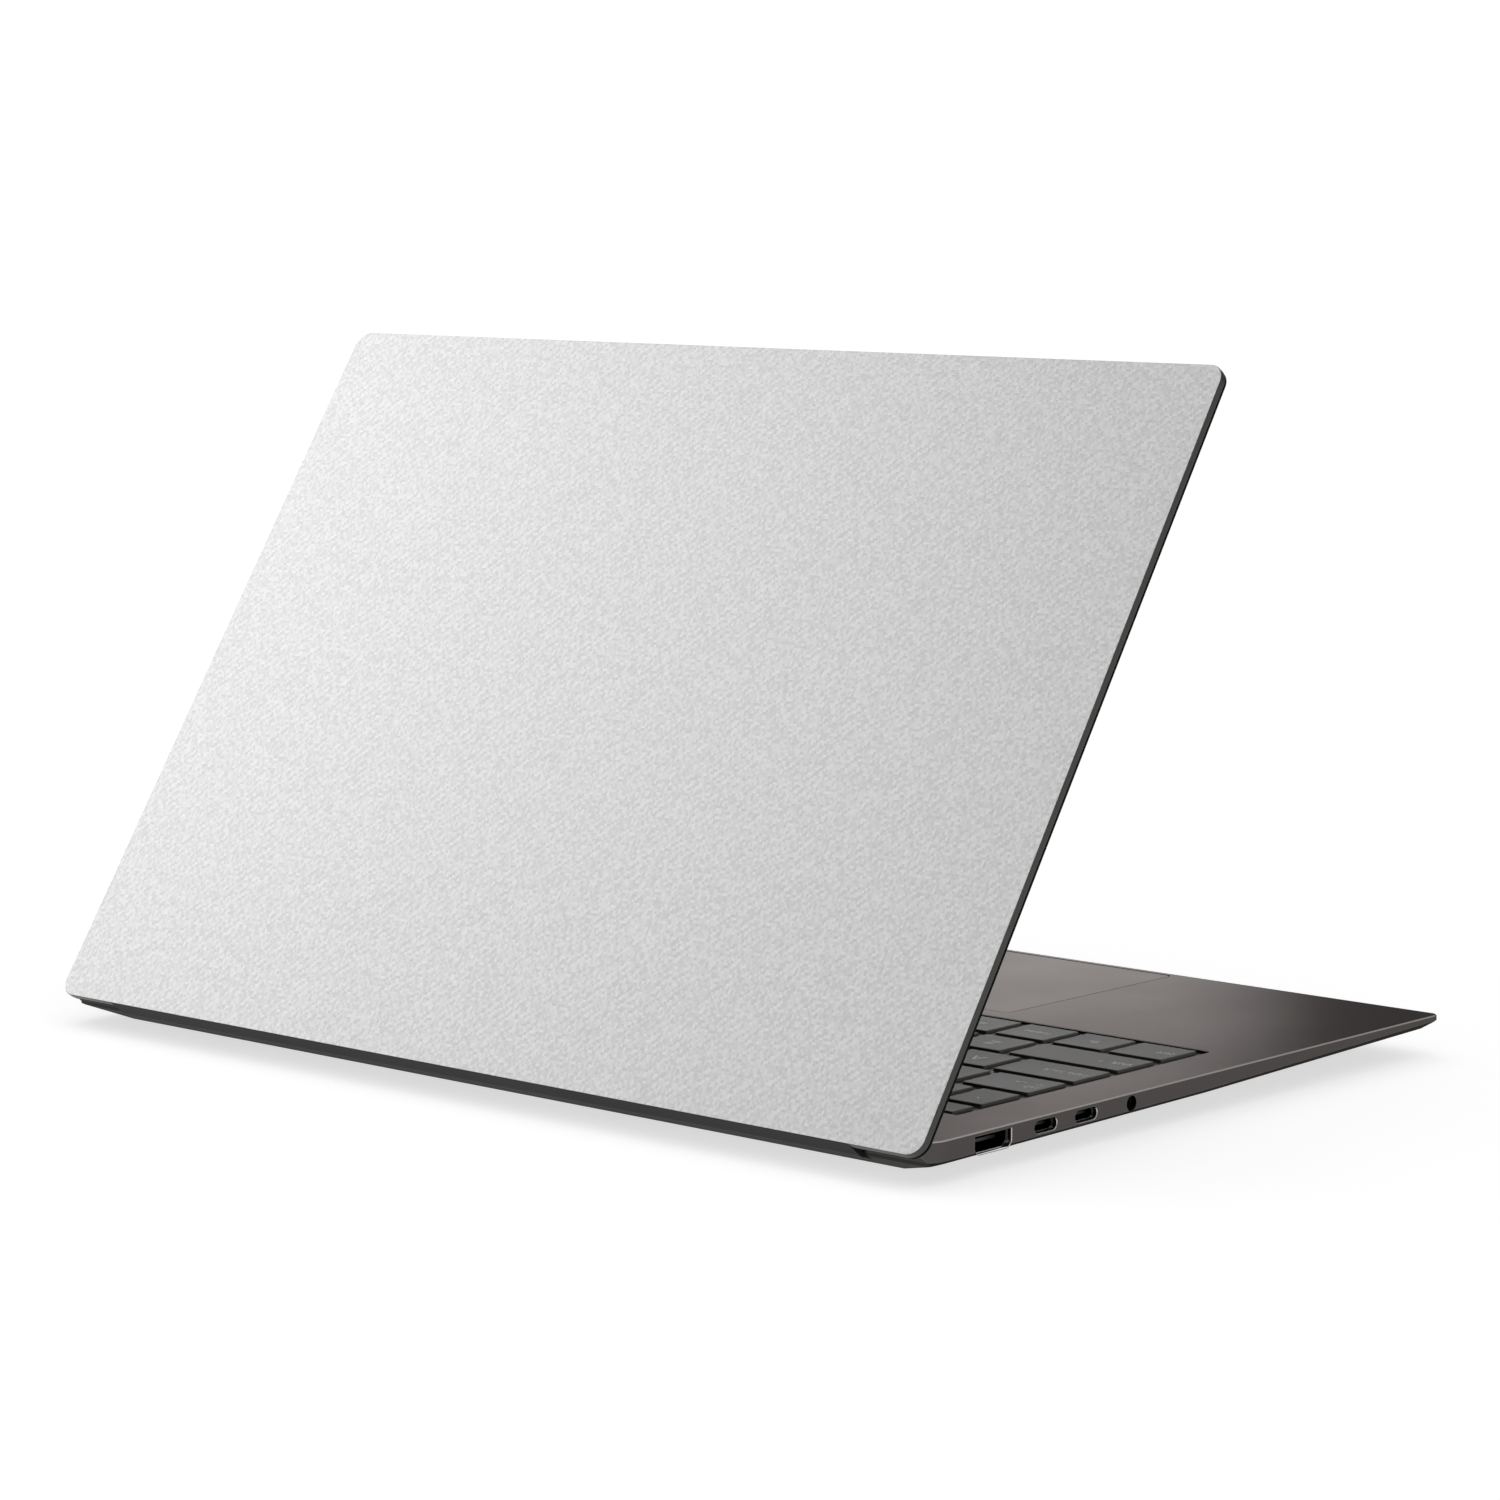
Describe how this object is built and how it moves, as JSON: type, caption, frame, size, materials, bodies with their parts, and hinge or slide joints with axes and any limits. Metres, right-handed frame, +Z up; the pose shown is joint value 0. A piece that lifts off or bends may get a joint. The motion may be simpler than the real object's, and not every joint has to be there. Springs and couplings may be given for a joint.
{
  "type": "laptop computer",
  "caption": "Thin clamshell laptop computer, lid part open on a full-width hinge bar, with white textured lid, island keyboard, touchpad, side sockets and rubber feet.",
  "frame": {"origin": "on the table under the middle of the base, at the lowest face of the feet", "axes": "+X to the user's right, +Y from the user to the rear hinge, +Z up"},
  "size_m": [0.3104, 0.2191, 0.1882],
  "materials": {
    "deck_metal": "fine bead-blasted anodised, warm dark grey",
    "cover_metal": "matt near-black",
    "lid_metal": "fine bead-blasted anodised, dark grey",
    "lid_film": "white satin film embossed with a twill weave",
    "bar_plastic": "matt near-black",
    "hinge_steel": "pressed steel",
    "key_plastic": "matt dark grey with pale legends",
    "silicone": "translucent silicone",
    "foot_rubber": "matt black rubber",
    "touchpad_surface": "etched matt glass",
    "board_green": "solder mask over laminate",
    "package_metal": "nickel-plated cans",
    "copper": "bright copper",
    "fin_metal": "rolled sheet",
    "inner_plastic": "matt black moulding",
    "battery_wrap": "satin black foil",
    "socket_steel": "drawn stainless shells",
    "cable_film": "amber polyimide",
    "screw_steel": "blackened steel",
    "screen_glass": "glossy cover glass over a dark screen",
    "panel_black": "dark laminated panel"
  },
  "bodies": {
    "base": {"top_case": "deck_metal", "bottom_cover": "cover_metal", "vent_grille": "bar_plastic", "keyboard_plate": "hinge_steel", "key_domes": "silicone", "touchpad_bracket": "hinge_steel", "main_board": "board_green", "processor": "package_metal", "cold_plate": "copper", "heat_pipes": "copper", "fin_stacks": "fin_metal", "fan_housing_left": "inner_plastic", "fan_housing_right": "inner_plastic", "storage_card": "board_green", "wireless_card": "package_metal", "battery_pack": "battery_wrap", "speakers": "inner_plastic", "video_socket": "socket_steel", "oval_sockets": "socket_steel", "audio_jack": "inner_plastic", "data_socket": "socket_steel", "side_board": "board_green", "ribbon_cables": "cable_film", "hinge_brackets": "hinge_steel", "bottom_screws": "screw_steel", "rear_foot": "foot_rubber", "front_feet": "foot_rubber"},
    "lid": {"lid_shell": "lid_metal", "lid_skin": "lid_film", "hinge_bar": "bar_plastic", "hinge_leaves": "hinge_steel", "hinge_shafts": "hinge_steel", "display_panel": "panel_black", "display_glass": "screen_glass", "bezel_frame": "bar_plastic", "camera_module": "panel_black"},
    "left_impeller": {"fan_impeller_left": "inner_plastic"},
    "right_impeller": {"fan_impeller_right": "inner_plastic"},
    "touchpad": {"touchpad_glass": "touchpad_surface"},
    "key_escape_cap": {"key_escape": "key_plastic"},
    "function_keys_bank": {"function_keys": "key_plastic"},
    "key_power_cap": {"key_power": "key_plastic"},
    "number_keys_bank": {"number_keys": "key_plastic"},
    "key_backspace_cap": {"key_backspace": "key_plastic"},
    "key_tab_cap": {"key_tab": "key_plastic"},
    "upper_letter_keys_bank": {"upper_letter_keys": "key_plastic"},
    "key_caps_cap": {"key_caps": "key_plastic"},
    "home_letter_keys_bank": {"home_letter_keys": "key_plastic"},
    "key_enter_cap": {"key_enter": "key_plastic"},
    "key_shift_left_cap": {"key_shift_left": "key_plastic"},
    "lower_letter_keys_bank": {"lower_letter_keys": "key_plastic"},
    "key_shift_right_cap": {"key_shift_right": "key_plastic"},
    "key_ctrl_cap": {"key_ctrl": "key_plastic"},
    "left_modifier_keys_bank": {"left_modifier_keys": "key_plastic"},
    "key_space_cap": {"key_space": "key_plastic"},
    "right_modifier_keys_bank": {"right_modifier_keys": "key_plastic"},
    "arrow_keys_bank": {"arrow_keys": "key_plastic"}
  },
  "joints": [
    {"name": "lid_hinge", "type": "hinge", "parent": "base", "child": "lid", "pos_m": [0, 0.1037, 0.0083], "axis": [-1, 0, 0], "range_deg": [-56.85, 73.15]},
    {"name": "left_fan_spin", "type": "hinge", "parent": "base", "child": "left_impeller", "pos_m": [-0.084, 0.064, 0.0045], "axis": [0, 0, 1], "continuous": true},
    {"name": "right_fan_spin", "type": "hinge", "parent": "base", "child": "right_impeller", "pos_m": [0.084, 0.064, 0.0045], "axis": [0, 0, 1], "continuous": true},
    {"name": "touchpad_click", "type": "hinge", "parent": "base", "child": "touchpad", "pos_m": [0, -0.03255, 0.01], "axis": [1, 0, 0], "range_deg": [0, 0.3], "stiffness_Nm_per_rad": 20},
    {"name": "key_escape_press", "type": "slide", "parent": "base", "child": "key_escape_cap", "axis": [0, 0, -1], "range_m": [0, 0.0011], "stiffness_N_per_m": 600},
    {"name": "function_keys_press", "type": "slide", "parent": "base", "child": "function_keys_bank", "axis": [0, 0, -1], "range_m": [0, 0.0011], "stiffness_N_per_m": 2400},
    {"name": "key_power_press", "type": "slide", "parent": "base", "child": "key_power_cap", "axis": [0, 0, -1], "range_m": [0, 0.0011], "stiffness_N_per_m": 600},
    {"name": "number_keys_press", "type": "slide", "parent": "base", "child": "number_keys_bank", "axis": [0, 0, -1], "range_m": [0, 0.0011], "stiffness_N_per_m": 2400},
    {"name": "key_backspace_press", "type": "slide", "parent": "base", "child": "key_backspace_cap", "axis": [0, 0, -1], "range_m": [0, 0.0011], "stiffness_N_per_m": 600},
    {"name": "key_tab_press", "type": "slide", "parent": "base", "child": "key_tab_cap", "axis": [0, 0, -1], "range_m": [0, 0.0011], "stiffness_N_per_m": 600},
    {"name": "upper_letter_keys_press", "type": "slide", "parent": "base", "child": "upper_letter_keys_bank", "axis": [0, 0, -1], "range_m": [0, 0.0011], "stiffness_N_per_m": 2400},
    {"name": "key_caps_press", "type": "slide", "parent": "base", "child": "key_caps_cap", "axis": [0, 0, -1], "range_m": [0, 0.0011], "stiffness_N_per_m": 600},
    {"name": "home_letter_keys_press", "type": "slide", "parent": "base", "child": "home_letter_keys_bank", "axis": [0, 0, -1], "range_m": [0, 0.0011], "stiffness_N_per_m": 2400},
    {"name": "key_enter_press", "type": "slide", "parent": "base", "child": "key_enter_cap", "axis": [0, 0, -1], "range_m": [0, 0.0011], "stiffness_N_per_m": 600},
    {"name": "key_shift_left_press", "type": "slide", "parent": "base", "child": "key_shift_left_cap", "axis": [0, 0, -1], "range_m": [0, 0.0011], "stiffness_N_per_m": 600},
    {"name": "lower_letter_keys_press", "type": "slide", "parent": "base", "child": "lower_letter_keys_bank", "axis": [0, 0, -1], "range_m": [0, 0.0011], "stiffness_N_per_m": 2400},
    {"name": "key_shift_right_press", "type": "slide", "parent": "base", "child": "key_shift_right_cap", "axis": [0, 0, -1], "range_m": [0, 0.0011], "stiffness_N_per_m": 600},
    {"name": "key_ctrl_press", "type": "slide", "parent": "base", "child": "key_ctrl_cap", "axis": [0, 0, -1], "range_m": [0, 0.0011], "stiffness_N_per_m": 600},
    {"name": "left_modifier_keys_press", "type": "slide", "parent": "base", "child": "left_modifier_keys_bank", "axis": [0, 0, -1], "range_m": [0, 0.0011], "stiffness_N_per_m": 2400},
    {"name": "key_space_press", "type": "slide", "parent": "base", "child": "key_space_cap", "axis": [0, 0, -1], "range_m": [0, 0.0011], "stiffness_N_per_m": 600},
    {"name": "right_modifier_keys_press", "type": "slide", "parent": "base", "child": "right_modifier_keys_bank", "axis": [0, 0, -1], "range_m": [0, 0.0011], "stiffness_N_per_m": 2400},
    {"name": "arrow_keys_press", "type": "slide", "parent": "base", "child": "arrow_keys_bank", "axis": [0, 0, -1], "range_m": [0, 0.0011], "stiffness_N_per_m": 2400}
  ]
}
